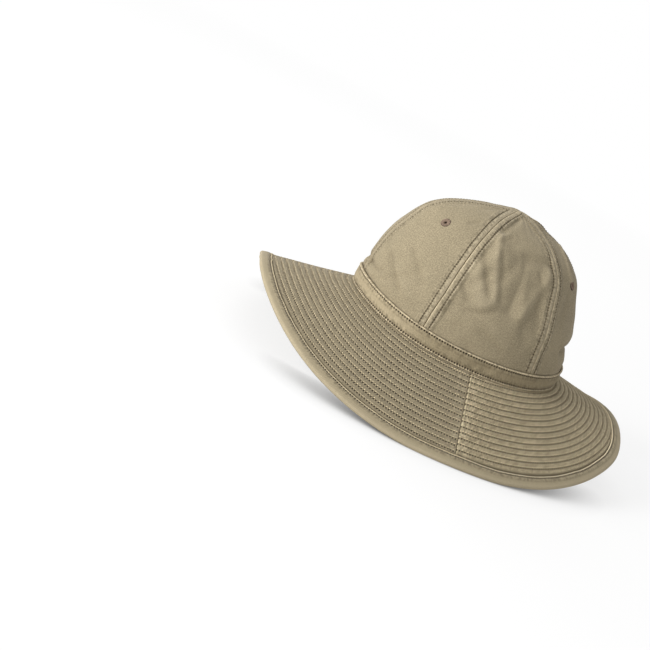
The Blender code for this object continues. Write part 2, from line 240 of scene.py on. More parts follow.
ALLOWANCE_EDGE = (7.2 * MM, 7.8 * MM)

# Brim rows
ROW_COUNT = 14
FRONT_ROWS = (
    # degrees from the front, first row and last row from the band in millimetres
    (0, 1.6, 73.0),
    (20, 1.2, 75.0),
    (40, 1.8, 80.0),
    (65, 3.8, 83.0),
    (90, 4.9, 83.0),
)
BACK_ROWS = (
    # degrees from the back, first row and last row
    (0, 1.4, 66.0),
    (35, 1.2, 69.2),
    (65, 1.8, 75.5),
    (90, 3.6, 80.2),
)
CORNER_WANDER = -3.0  # in millimetres
CORNER_DROP = 1.2 * MM
RIM_WANDER = (
    # degrees from the front, how far the rim stands out past its even line, in millimetres
    (0, -1.8),
    (8, 0.1),
    (20, 1.6),
    (40, 2.2),
    (60, 1.0),
    (80, 0.0),
    (125, 0.0),
    (140, 1.2),
    (153, 3.1),
    (166, 0.9),
    (180, 0.0),
)
PUFF_HEIGHT = 0.50 * MM
PUFF_ROUNDNESS = 0.55
ROW_SHARES = (0.0, 0.07, 0.22, 0.50, 0.78, 0.93)  # of the way from one row to the next
SEAT_ROWS = (-0.6, -0.4)  # numbers for the two rows of points under the crown's foot
FOOT_ROWS = (-0.2, -0.1)  # and for the two before the first row of stitches
BRIM_STEPS = 290  # round each half, past its margins
BRIM_MARGIN = (0, 0.25, 0.5, 0.8, 1.3, 2.0)  # in millimetres from a seam
BRIM_SEAM_STRIP = 8.5 * MM
BRIM_MIDDLE_RADIUS = 0.125  # about, at its sides
ROW_PITCH = 5.8 * MM  # about, at the side seams
UNDERSIDE_SHIFT = 0.31  # of the weave, so that it doesn't repeat the upper side's

# The front stretch, where brim and band lie flatter or paler, fades out between these degrees from it
FRONT_STRETCH = (42, 62)
BAND_FRONT_STRETCH = (42, 72)

PANEL_ROWS = 150
# Columns beside a panel's seams, in millimetres from them
PANEL_MARGIN = (0.2, 0.5, 0.8, 1.2, 1.7, 2.3, 3.0, 3.7, 4.2, 4.6, 4.9, 5.2, 5.6, 6.1, 6.7, 7.5, 8.5)
PANEL_MARGIN_ROOM = 13 * MM  # half a panel narrower than this squeezes its margin columns
PANEL_COLUMNS = 24  # in each half, past its margin
RING_STEPS = 720  # round the band and the binding
PATH_STEPS = 400  # up a panel
SMALL_STEP = 1e-3  # for slopes, in radians or in rise

# Band profile, from its lower edge: height and how far it stands out, in millimetres
BAND_PROFILE = (
    (0.00, -0.55),
    (0.10, 0.10),
    (0.40, 0.60),
    (0.85, 0.70),
    (1.35, 0.25),
    (1.80, -0.30),
    (2.20, -0.02),
    (2.80, 0.22),
    (4.20, 0.40),
    (6.00, 0.46),
)
BAND_STITCH_ROW = 5  # where its stitches lie

# Binding profile, from its inner edge: distance in from the rim and height over the brim's middle
# layer, in millimetres
BINDING_PROFILE = (
    (10.85, 0.98),
    (10.98, 1.50),
    (10.75, 1.98),
    (10.30, 2.10),
    (9.85, 1.90),
    (9.45, 1.42),
    (9.05, 1.80),
    (8.30, 2.15),
    (6.80, 2.36),
    (4.80, 2.40),
    (3.20, 2.26),
)
BINDING_FOLD_STEPS = 10
BINDING_STITCH = 9.45 * MM
BINDING_LIP = 10.7 * MM  # the inner layer's edge

# Materials
TWILL_PITCH = 1.3 * MM
TWILLS = {
    # Colour, angle of the twill in degrees, and how strong the heathering is. Then how dark the painted shade
    # along the rows of stitches is, out to how many millimetres, the share of that beside the middle of each
    # stitch, and how dark the painted shade in the needle holes is.
    "crown": ((0.421, 0.351, 0.229), -18, 0.76, 0.45, 0.60, 0.55, 0.60),
    "band": ((0.408, 0.334, 0.209), 28, 0.50, 0.35, 0.70, 0.15, 0.97),
    # The brim halves are the crown's cloth: the front half is painted darker as painted shade, and the back
    # half paler as a painted sheen of its twill.
    "brim_front": ((0.388, 0.323, 0.207), 62, 0.95, 0.50, 0.80, 0.12, 0.90),
    "brim_back": ((0.486, 0.405, 0.257), 118, 0.95, 0.50, 0.80, 0.12, 1.00),
    "binding": ((0.366, 0.305, 0.194), 12, 0.30, 0.92, 0.75, 0.90, 0.90),
}
THREADS = {
    # colour, colour of the painted shade at the edge
    # The seam thread is dark partly as painted shade of the grooves its rows lie in.
    "seam": ((0.230, 0.180, 0.105), None),
    "cotton": ((0.400, 0.332, 0.212), None),
    # The brim's thread is painted paler than its cloth, as a highlight where it catches the light.
    "brim": ((0.520, 0.430, 0.275), None),
    "eyelet": ((0.250, 0.178, 0.130), (0.050, 0.032, 0.023)),
}

# Camera and studio
CAMERA_ANGLES = (70.2, 12.05, 28.6)  # azimuth, elevation and roll
CAMERA_DISTANCE = 1.1386
CAMERA_LENS = 70.0
SENSOR = 36.0
IMAGE_SIDE = 650
AIM_POINT = Vector((0, 0.0064, 0.0815))
AIM_PIXEL = (464.8, 311.8)
SOFTBOXES = (
    # name; direction to the right, up and near in the camera's view; power
    ("key", (-0.50, 0.55, 0.67), 29.0),
    ("rim", (0.10, 0.80, -0.60), 8.0),
)
SOFTBOX_DISTANCE = 2.0
SOFTBOX_SIZE = 0.9
BACKGROUND = 1.0
AMBIENT = 0.47
FLOOR_HALF = 20.0
FLOOR_FADING = (0.5, 2.5)
FLOOR_ALBEDO = 0.86
FLOOR_SHADE = 0.31
FLOOR_GLOW = 0.74
# How far the floor's painted contact shade reaches.
CONTACT_REACH = 0.03

NOISE_CELLS = 64
NOISE_SEED = 11
noise_values = np.random.default_rng(NOISE_SEED).uniform(-1, 1, (NOISE_CELLS, NOISE_CELLS))


def smooth_noise(u, v):
    """Even, repeatable noise from -1 to 1 over a plane, one bump a unit."""
    u, v = np.broadcast_arrays(np.asarray(u, float), np.asarray(v, float))
    cell_u, cell_v = np.floor(u).astype(int), np.floor(v).astype(int)
    s, t = u - cell_u, v - cell_v
    s, t = s * s * (3 - 2 * s), t * t * (3 - 2 * t)

    def corner(i, j):
        return noise_values[(cell_u + i) % NOISE_CELLS, (cell_v + j) % NOISE_CELLS]

    low = corner(0, 0) * (1 - s) + corner(1, 0) * s
    high = corner(0, 1) * (1 - s) + corner(1, 1) * s
    return low * (1 - t) + high * t


def unit(vectors):
    return vectors / np.linalg.norm(vectors, axis=-1, keepdims=True)


def rising(value, start, end):
    """0 up to the start and 1 from the end, with a smooth way between them."""
    s = np.clip((value - start) / (end - start), 0, 1)
    return s * s * (3 - 2 * s)


def falling(value, start, end):
    return 1 - rising(value, start, end)


def bump(distance, half_width):
    return np.exp(-((distance / half_width) ** 2))


def points(x, y, z):
    return np.stack(np.broadcast_arrays(x, y, z), axis=-1)


def way_along(path):
    """How far along a path each of its points lies."""
    return np.concatenate([[0], np.cumsum(np.linalg.norm(np.diff(path, axis=0), axis=1))])


def curve(table, column, at):
    """A smooth curve through one column of a table, read at values of its first column."""
    rows = np.array(table)
    step = np.clip(np.searchsorted(rows[:, 0], at) - 1, 0, len(rows) - 2)

    def slope(row):
        before, after = np.maximum(row - 1, 0), np.minimum(row + 1, len(rows) - 1)
        return (rows[after, column] - rows[before, column]) / (rows[after, 0] - rows[before, 0])

    span = rows[step + 1, 0] - rows[step, 0]
    s = (at - rows[step, 0]) / span
    return (
        rows[step, column] * (1 + 2 * s) * (1 - s) ** 2
        + slope(step) * span * s * (1 - s) ** 2
        + rows[step + 1, column] * s * s * (3 - 2 * s)
        + slope(step + 1) * span * s * s * (s - 1)
    )


def degrees_from(turn, middle):
    """How far a turn lies past another, in degrees from -180 to 180."""
    return (np.degrees(turn) - middle + 180) % 360 - 180


def from_front(turn):
    return np.abs(degrees_from(turn, 0))


# The hat's surfaces, the same as in its solids


def oval(turn, half_length, half_width):
    swell = 1 + SQUARENESS * (1 - np.cos(4 * turn)) / 2
    return half_width * swell * np.sin(turn), -half_length * swell * np.cos(turn)


def wave(turn):
    return (1 + np.cos(2 * turn)) / 2 - SIDE_FLATNESS * (1 - np.cos(4 * turn))


def front_to_back(turn, front, back):
    return (front + back) / 2 + (front - back) / 2 * np.cos(turn)


def seat_height(turn):
    return SEAT_SIDE_HEIGHT + front_to_back(turn, SEAT_FRONT_RISE, SEAT_BACK_RISE) * wave(turn)


def head_point(turn, inset, height):
    x, y = oval(turn, HEAD_HALF_LENGTH - inset, HEAD_HALF_WIDTH - inset)
    return points(x, y + HEAD_SETBACK, height)


def rim_point(turn):
    free = front_to_back(turn, RIM_FRONT_RISE, RIM_BACK_RISE) * wave(turn) - REST_PRESS
    free = np.maximum(free, 0)
    rise = free * free / (free + REST_PRESS)
    drop = SEAT_SIDE_HEIGHT - BINDING_HALF_DEPTH
    slope = math.atan2(drop, RIM_HALF_WIDTH - HEAD_HALF_WIDTH)
    lowest = BINDING_HALF_DEPTH * (1 - math.sin(slope)) - BINDING_FLAT
    x, y = oval(turn, RIM_HALF_LENGTH, RIM_HALF_WIDTH)
    return points(x, y, lowest + rise)


def front_corner(turn):
    """How much a turn belongs to the front corner of the brim on the wearer's right."""
    to_right = -degrees_from(turn, 0)
    return rising(to_right, 0, 8) * falling(to_right, 20, 34)


def rim_wander(turn):
    return (curve(RIM_WANDER, 1, from_front(turn)) + CORNER_WANDER * front_corner(turn)) * MM


def brim_frame(turn):
    """The brim's middle layer at each turn: foot, way out, its length, and its upward normal."""
    foot = head_point(turn, 0, seat_height(turn) - BRIM_WALL / 2)
    rim = rim_point(turn)
    rim[..., 2] -= CORNER_DROP * front_corner(turn)
    reach = rim - foot
    length = np.linalg.norm(reach, axis=-1)
    outward = reach / length[..., None]
    along = rim_point(turn + SMALL_STEP) - rim_point(turn - SMALL_STEP)
    return foot, outward, length + rim_wander(turn), unit(np.cross(outward, along))


def crown_point(turn, rise):
    height, front, back, side = (curve(CROWN_SECTIONS, column, rise) for column in (1, 2, 3, 4))
    inset = BAND_WALL + CLEARANCE
    half_length = (HEAD_HALF_LENGTH - inset) * front_to_back(turn, front, back)
    x, y = oval(turn, half_length, (HEAD_HALF_WIDTH - inset) * side)
    lowest = seat_height(turn) + CLEARANCE + BAND_HEIGHT
    return points(x, y + HEAD_SETBACK, lowest + (CROWN_TOP_HEIGHT - lowest) * height)


def crown_frame(turn, rise):
    """Points of the crown's smooth outer face, its length per radian of turn, and its normal."""
    step = SMALL_STEP
    along = (crown_point(turn + step, rise) - crown_point(turn - step, rise)) / (2 * step)
    above, below = np.minimum(rise + step, 1), np.maximum(rise - step, 0)
    upward = crown_point(turn, above) - crown_point(turn, below)
    normal = unit(np.cross(along, upward))
    return crown_point(turn, rise), np.linalg.norm(along, axis=-1), normal


def fold_lift(turn, rise):
    total = 0.0
    for fold_turn, fold_rise, width, length, slant, depth in CROWN_FOLDS:
        up = (rise - fold_rise) / length
        across = (np.degrees(turn) - fold_turn - slant * up) / width
        total = total + depth * np.exp(-(across * across + up * up))
    return FOLD_DEPTH * total * np.clip(rise / FOLD_START, 0, 1)


def seam_turn(seam, rise):
    foot, top = CROWN_SEAMS[seam][:2]
    bow = 0
    if seam % 3:
        column = 1 if seam in (1, 5) else 2
        bow = curve(SEAM_BOWS, column, rise) * (1 if seam < 3 else -1)
    return np.radians(foot + (top - foot) * rise + bow)


def panel_middle(panel, rise):
    return (seam_turn(panel, rise) + seam_turn(panel + 1, rise)) / 2


def rise_at_radius(radius):
    last_row = CROWN_SECTIONS[-2]
    reach = (HEAD_HALF_WIDTH - BAND_WALL - CLEARANCE) * last_row[4]
    return 1 - radius * (1 - last_row[0]) / reach


# The finer forms of the cloth


def crown_length(rise):
    """How far up the crown's cloth a rise lies, along a side panel."""
    rises = np.linspace(0, 1, PATH_STEPS)
    return np.interp(rise, rises, way_along(crown_point(np.full(PATH_STEPS, math.pi / 2), rises)))


def crease_list():
    listed = list(CREASES)
    for number in MIRRORED_CREASES:
        width, depth, line = CREASES[number]
        off = 4 * math.sin(2.4 * number)
        mirrored = tuple((360 - turn + off, rise + 0.02) for turn, rise in line)
        listed.append((width, depth, mirrored))
    return listed


def crease_lift(turn, rise):
    along = crown_length(rise)
    lift = 0 * rise
    for width, depth, line in crease_list():
        middle_turn, middle_rise = np.mean(line, axis=0)
        _, speed, _ = crown_frame(np.radians([middle_turn]), np.array([middle_rise]))
        x = np.radians(degrees_from(turn, middle_turn)) * speed[0]
        ends = [
            (math.radians(line_turn - middle_turn) * speed[0], crown_length(line_rise))
            for line_turn, line_rise in line
        ]
        nearest = np.inf
        for (x_a, y_a), (x_b, y_b) in zip(ends, ends[1:]):
            reach_x, reach_y = x_b - x_a, y_b - y_a
            share = ((x - x_a) * reach_x + (along - y_a) * reach_y) / (reach_x**2 + reach_y**2)
            share = np.clip(share, 0, 1)
            distance = np.hypot(x - x_a - share * reach_x, along - y_a - share * reach_y)
            nearest = np.minimum(nearest, distance)
        lift = lift + depth * MM * bump(nearest, width * MM)
    return lift * np.clip(rise / CREASE_START, 0, 1)


def bulge_lift(turn, rise):
    lift = 0 * rise
    for bulge_turn, bulge_rise, width, length, height in BULGES:
        across = degrees_from(turn, bulge_turn) / width
        up = (rise - bulge_rise) / length
        lift = lift + height * MM * np.exp(-(across * across + up * up))
    return lift * np.clip(rise / FOLD_START, 0, 1)


def seam_seed(panel, side):
    """A seed for the noise beside a panel's seam, on its side 0 or 1."""
    return 3.7 * panel + 1.9 * side


def stitch_offset(along, seed):
    """How far from its seam a row of stitches lies, wandering a little on its way."""
    return SEAM_STITCH + ROW_WANDER * smooth_noise(along / (16 * MM), seed)


def seam_relief(distance, along, seed, near_front):
    """How far the cloth stands out beside a seam, by its distance and the way along the seam."""
    row = stitch_offset(along, seed)
    ditch = -DITCH_DEPTH * (1 - 0.6 * rising(along, *DITCH_FADING)) * bump(distance, DITCH_HALF_WIDTH)
    strip = STRIP_HEIGHT * falling(distance, STRIP_EDGE - STRIP_FALL / 2, STRIP_EDGE + STRIP_FALL / 2)
    groove = -GROOVE_DEPTH * bump(distance - row, GROOVE_HALF_WIDTH)
    pucker = smooth_noise(along / PUCKER_PITCH + seed, distance / (4 * PUCKER_PITCH) + seed)
    past = np.maximum(distance - row, 0)
    pucker = pucker * PUCKER_DEPTH * rising(past, 0, 1.5 * MM) * np.exp(-past / PUCKER_REACH)
    inside = smooth_noise(along / (3.4 * MM) + distance / (5 * MM), seed + distance / (3 * MM))
    inside = inside * STRIP_PUCKER * bump(distance - row / 2, row / 2.6) * np.where(near_front, 0.55, 1)
    return ditch + strip + groove + pucker + inside


def beside_seam(turn, rise, panel):
    """Distance to the nearer seam, its seed, whether this is its front side, and how much it shows."""
    _, speed, _ = crown_frame(turn, rise)
    left = (turn - seam_turn(panel, rise)) * speed
    right = (seam_turn(panel + 1, rise) - turn) * speed
    nearer_left = left < right
    fading = 1 - 0.6 * rising(rise, *BACK_SEAM_FADING)
    show = {2: fading, 4: fading, **SEAM_SHOW}
    show = np.where(nearer_left, show.get(panel, 1), show.get(panel + 1, 1))
    seed = seam_seed(panel, np.where(nearer_left, 0, 1))
    return np.minimum(left, right), seed, nearer_left == (panel >= 3), show


def crown_surface(turn, rise, panel):
    """The panel's finished outer face, with its normal, and the distance to the nearer seam."""
    point, _, normal = crown_frame(turn, rise)
    along = crown_length(rise)
    nearer, seed, near_front, show = beside_seam(turn, rise, panel)
    relief = seam_relief(nearer, along, seed, near_front) * show
    gather = smooth_noise(turn * 14, along / 0.05) * 0.45 * MM * np.exp(-along / 0.008)
    waves = smooth_noise(turn * 6 + panel, along / 0.022) * 0.35 * MM
    waves = waves + smooth_noise(turn * 13, along / 0.011 + 9) * 0.16 * MM
    waves = waves + smooth_noise(turn * 8, along / 0.012 + 3) * 0.5 * MM * rising(rise, 0.6, 0.85)
    creases = crease_lift(turn, rise) * rising(nearer, 2 * MM, 7 * MM)
    lift = fold_lift(turn, rise) + bulge_lift(turn, rise) + relief
    lift = lift + (gather + waves) * rising(nearer, 3 * MM, 9 * MM) + creases
    return point + normal * lift[..., None], normal, nearer


def row_distance(turn, row, length):
    """How far out from the band a row lies, where the brim has that length from band to rim."""
    away = from_front(turn)
    in_front = np.mean(away) < 90
    rows = FRONT_ROWS if in_front else BACK_ROWS
    at = away if in_front else 180 - away
    first, last = curve(rows, 1, at) * MM, curve(rows, 2, at) * MM
    pitch = (last - first) / (ROW_COUNT - 1)
    beyond = np.maximum(row - (ROW_COUNT - 1), 0) * (length - BINDING_WIDTH - last)
    distance = first + pitch * np.minimum(row, ROW_COUNT - 1) + beyond
    return np.where(row < 0, first * (1 + 4 * row), distance)


def row_way(turns, row):
    """The way along one row of the brim at each turn."""
    foot, outward, length, _ = brim_frame(turns)
    return way_along(foot + outward * row_distance(turns, row, length)[:, None])


def brim_surface(turn, row, side, seams):
    """A finished face of the brim: side is 1 above and -1 below. Rows count outwards from 0."""
    foot, outward, length, normal = brim_frame(turn)
    distance = row_distance(turn, row, length)
    number = np.floor(row)
    puff = np.sin(np.pi * (row - number)) ** PUFF_ROUNDNESS
    puff = np.where((row > 0) & (row < ROW_COUNT), puff, 0)
    ripple = smooth_noise(turn * 90 + number * 7.3, number * 3.1)
    ripple = ripple + 0.6 * smooth_noise(turn * 210 + number * 5.1, number * 2.3)
    wander = smooth_noise(turn * 12, row / 5)
    flat_front = 1 - 0.25 * falling(from_front(turn), *FRONT_STRETCH)
    lift = PUFF_HEIGHT * puff * flat_front * (1 + 0.25 * ripple) + 0.15 * MM * wander
    across = np.min([np.abs(turn - seam) for seam in seams], axis=0) * (HEAD_HALF_WIDTH + distance)
    strip = falling(across, BRIM_SEAM_STRIP - 1 * MM, BRIM_SEAM_STRIP + 1 * MM)
    ditch = bump(across, 0.5 * MM)
    lift = lift * (1 - 0.25 * strip) + 0.30 * MM * strip - 0.60 * MM * ditch
    out = foot + outward * distance[..., None]
    return out + normal * (side * (BRIM_WALL / 2 + lift))[..., None], normal * side


# Meshes


def wall_mesh(name, outer, inner, ring, hole=None):
    """A closed wall between two grids of points, rows by columns.

    ring joins the last column to the first. hole marks the grid cells left out of both faces.
    """
    rows, columns = outer.shape[:2]
    count = rows * columns
    index = np.arange(count).reshape(rows, columns)
    following = np.roll(index, -1, axis=1)
    steps = columns if ring else columns - 1
    grids = (index[:-1], following[:-1], following[1:], index[1:])
    cells = np.stack([grid[:, :steps] for grid in grids], axis=-1)
    kept = np.ones(cells.shape[:2], bool) if hole is None else ~hole
    front = cells[kept]
    rims = []

    def close(a, b):
        rims.append(np.stack([a, a + count, b + count, b], axis=-1).reshape(-1, 4))

    close(index[0, :steps], following[0, :steps])
    close(following[-1, :steps], index[-1, :steps])
    if not ring:
        close(index[1:, 0], index[:-1, 0])
        close(index[:-1, -1], index[1:, -1])
    if hole is not None:
        for shift_row, shift_column, a, b in ((0, -1, 0, 3), (0, 1, 2, 1), (-1, 0, 1, 0), (1, 0, 3, 2)):
            beside = np.roll(hole, (-shift_row, -shift_column), axis=(0, 1))
            edge = cells[kept & beside]
            close(edge[:, b], edge[:, a])
    faces = np.concatenate([front, front[:, ::-1] + count, *rims])
    vertices = np.concatenate([outer.reshape(-1, 3), inner.reshape(-1, 3)])
    return new_mesh(name, vertices, faces)


def new_mesh(name, vertices, faces):
    """A smooth mesh of triangles or of four-sided faces, which it turns outwards."""
    mesh = bpy.data.meshes.new(name)
    mesh.vertices.add(len(vertices))
    mesh.vertices.foreach_set("co", vertices.astype(np.float32).ravel())
    size = faces.shape[1]
    mesh.loops.add(faces.size)
    mesh.loops.foreach_set("vertex_index", faces.astype(np.int32).ravel())
    mesh.polygons.add(len(faces))
    mesh.polygons.foreach_set("loop_start", np.arange(len(faces), dtype=np.int32) * size)
    mesh.polygons.foreach_set("loop_total", np.full(len(faces), size, dtype=np.int32))
    mesh.update(calc_edges=True)
    start, *others = np.moveaxis(vertices[faces], 1, 0)
    volume = 0
    for second, third in zip(others, others[1:]):
        volume += (start * np.cross(second - start, third - start)).sum()
    if volume < 0:
        mesh.flip_normals()
    mesh.shade_smooth()
    return mesh


def set_map(mesh, name, values, period):
    """A UV map from a pair of numbers per point, with the period round a joined ring, or None."""
    corner = np.empty(len(mesh.loops), np.int32)
    mesh.loops.foreach_get("vertex_index", corner)
    data = values[corner].astype(float)
    if period:
        column = corner.reshape(-1, 4) % RING_STEPS
        crosses = (column == RING_STEPS - 1).any(axis=1)[:, None] & (column == 0)
        data[crosses.ravel(), 0] += period
    layer = mesh.uv_layers.new(name=name)
    layer.data.foreach_set("uv", data.astype(np.float32).ravel())


def set_value(mesh, name, values):
    attribute = mesh.attributes.new(name, "FLOAT", "POINT")
    attribute.data.foreach_set("value", values.astype(np.float32).ravel())


def dress_wall(mesh, weave, stitch, shading_and_wear, inside=0, shift=0, periods=(None, None)):
    """The maps of a wall's two faces and their rubbing and painted shading, from grids of numbers.

    weave is the way across and up the cloth. stitch is the number of stitches along the nearest row and
    the distance from it in millimetres. inside is the share of the rubbing and painted shading on the inner
    face, and shift moves the weave there. periods are those of the two maps round a joined ring.
    """
    for layer, pair, move, period in zip(("weave", "stitch"), (weave, stitch), (shift, 0), periods):
        flat = np.stack(np.broadcast_arrays(*pair), axis=-1).reshape(-1, 2)
        set_map(mesh, layer, np.concatenate([flat, flat + move]), period)
    set_value(mesh, "shading_and_wear", np.stack([shading_and_wear, inside * shading_and_wear]))


def add_piece(name, mesh, material, slot, *nodes):
    mesh.materials.append(material)
    piece = bpy.data.objects.new(name, mesh)
    bpy.context.scene.collection.objects.link(piece)
    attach(piece, "root")
    if nodes:
        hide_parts(*nodes)
    return piece


class Needlework:
    """Rows of stitches that become one piece."""

    def __init__(self):
        self.vertices = []
        self.faces = []
        self.count = 0

    def add_row(self, path, normals, stitches, closed=False, stations=STITCH_STATIONS):
        """One row along a dense path, with so many stitches from its start to its end."""
        if closed:
            path = np.concatenate([path, path[:1]])
            normals = np.concatenate([normals, normals[:1]])
        way = way_along(path)
        shares, heights = np.array(stations).T
        at = (np.arange(stitches)[:, None] + shares) * way[-1] / stitches
        delta = way[-1] / stitches * 0.05

        def read(values, where):
            return np.stack([np.interp(where, way, values[:, k]) for k in range(3)], axis=-1)

        normal = unit(read(normals, at))
        tangent = unit(read(path, at + delta) - read(path, at - delta))
        side = unit(np.cross(normal, tangent)) * THREAD_HALF_WIDTH
        base = read(path, at) + normal * (heights * THREAD_HEIGHT - THREAD_SINK)[:, None]
        rings = np.stack([base - side, base + side, base + normal * THREAD_HEIGHT], axis=2)
        count = len(shares)
        start = self.count + np.arange(stitches)[:, None, None] * count * 3
        ring = start + np.arange(count - 1)[None, :, None] * 3
        corner = np.arange(3)[None, None, :]
        following = (corner + 1) % 3
        quads = np.stack([ring + corner, ring + following, ring + 3 + following, ring + 3 + corner], axis=-1)
        quads = quads.reshape(-1, 4)
        first = start[:, 0, 0][:, None]
        last = first + (count - 1) * 3
        caps = [first + np.array([0, 2, 1]), last + np.array([0, 1, 2])]
        self.faces += [quads[:, [0, 1, 2]], quads[:, [0, 2, 3]], *caps]
        self.vertices.append(rings.reshape(-1, 3))
        self.count += stitches * count * 3

    def add_piece(self, name, material, slot):
        mesh = new_mesh(name, np.concatenate(self.vertices), np.concatenate(self.faces))
        return add_piece(name, mesh, material, slot)


def stitch_count(length):
    return max(int(round(length / STITCH_LENGTH)), 1)


# Materials


class Nodes:
    """Short ways to write a material's nodes."""

    def __init__(self, name):
        self.material = bpy.data.materials.new(name)
        self.material.use_nodes = True
        self.tree = self.material.node_tree
        self.shader = self.tree.nodes["Principled BSDF"]

    def add(self, kind, **settings):
        node = self.tree.nodes.new(kind)
        for key, value in settings.items():
            setattr(node, key, value)
        return node

    def link(self, source, target):
        self.tree.links.new(source, target)

    def put(self, values, sockets):
        for value, socket in zip(values, sockets):
            if isinstance(value, (int, float, tuple)):
                socket.default_value = value
            else:
                self.link(value, socket)

    def math(self, operation, *values):
        node = self.add("ShaderNodeMath", operation=operation)
        self.put(values, node.inputs)
        return node.outputs[0]

    def plus(self, a, b):
        return self.math("ADD", a, b)

    def minus(self, a, b):
        return self.math("SUBTRACT", a, b)

    def times(self, a, b):
        return self.math("MULTIPLY", a, b)

    def map_range(self, *values):
        """From a value, the ends of its range, and the results there."""
        node = self.add("ShaderNodeMapRange", clamp=True)
        self.put(values, node.inputs)
        return node.outputs[0]

    def mix(self, share, a, b):
        node = self.add("ShaderNodeMix", data_type="RGBA")
        self.put((share, a, b), (node.inputs[0], node.inputs[6], node.inputs[7]))
        return node.outputs[2]

    def noise(self, vector, scale, detail=2.0, roughness=0.5):
        node = self.add("ShaderNodeTexNoise")
        names = ("Vector", "Scale", "Detail", "Roughness")
        self.put((vector, scale, detail, roughness), [node.inputs[name] for name in names])
        return node.outputs["Fac"]

    def place(self, x, y):
        node = self.add("ShaderNodeCombineXYZ")
        self.put((x, y), node.inputs)
        return node.outputs[0]

    def uv(self, name):
        node = self.add("ShaderNodeUVMap", uv_map=name)
        split = self.add("ShaderNodeSeparateXYZ")
        self.link(node.outputs[0], split.inputs[0])
        return node.outputs[0], split.outputs[0], split.outputs[1]

    def value(self, name):
        return self.add("ShaderNodeAttribute", attribute_name=name).outputs["Fac"]

    def finish(self, colour, height, strength, depth, inputs):
        """Give the shader its colour, a bump of so much strength and depth, and its other inputs."""
        relief = self.add("ShaderNodeBump")
        relief.inputs["Strength"].default_value = strength
        relief.inputs["Distance"].default_value = depth
        self.link(height, relief.inputs["Height"])
        self.link(relief.outputs[0], self.shader.inputs["Normal"])
        self.link(colour, self.shader.inputs["Base Color"])
        for name, value in inputs.items():
            self.put([value], [self.shader.inputs[name]])
        return self.material


def scaled(colour, factor):
    return tuple(min(part * factor, 1) for part in colour) + (1,)


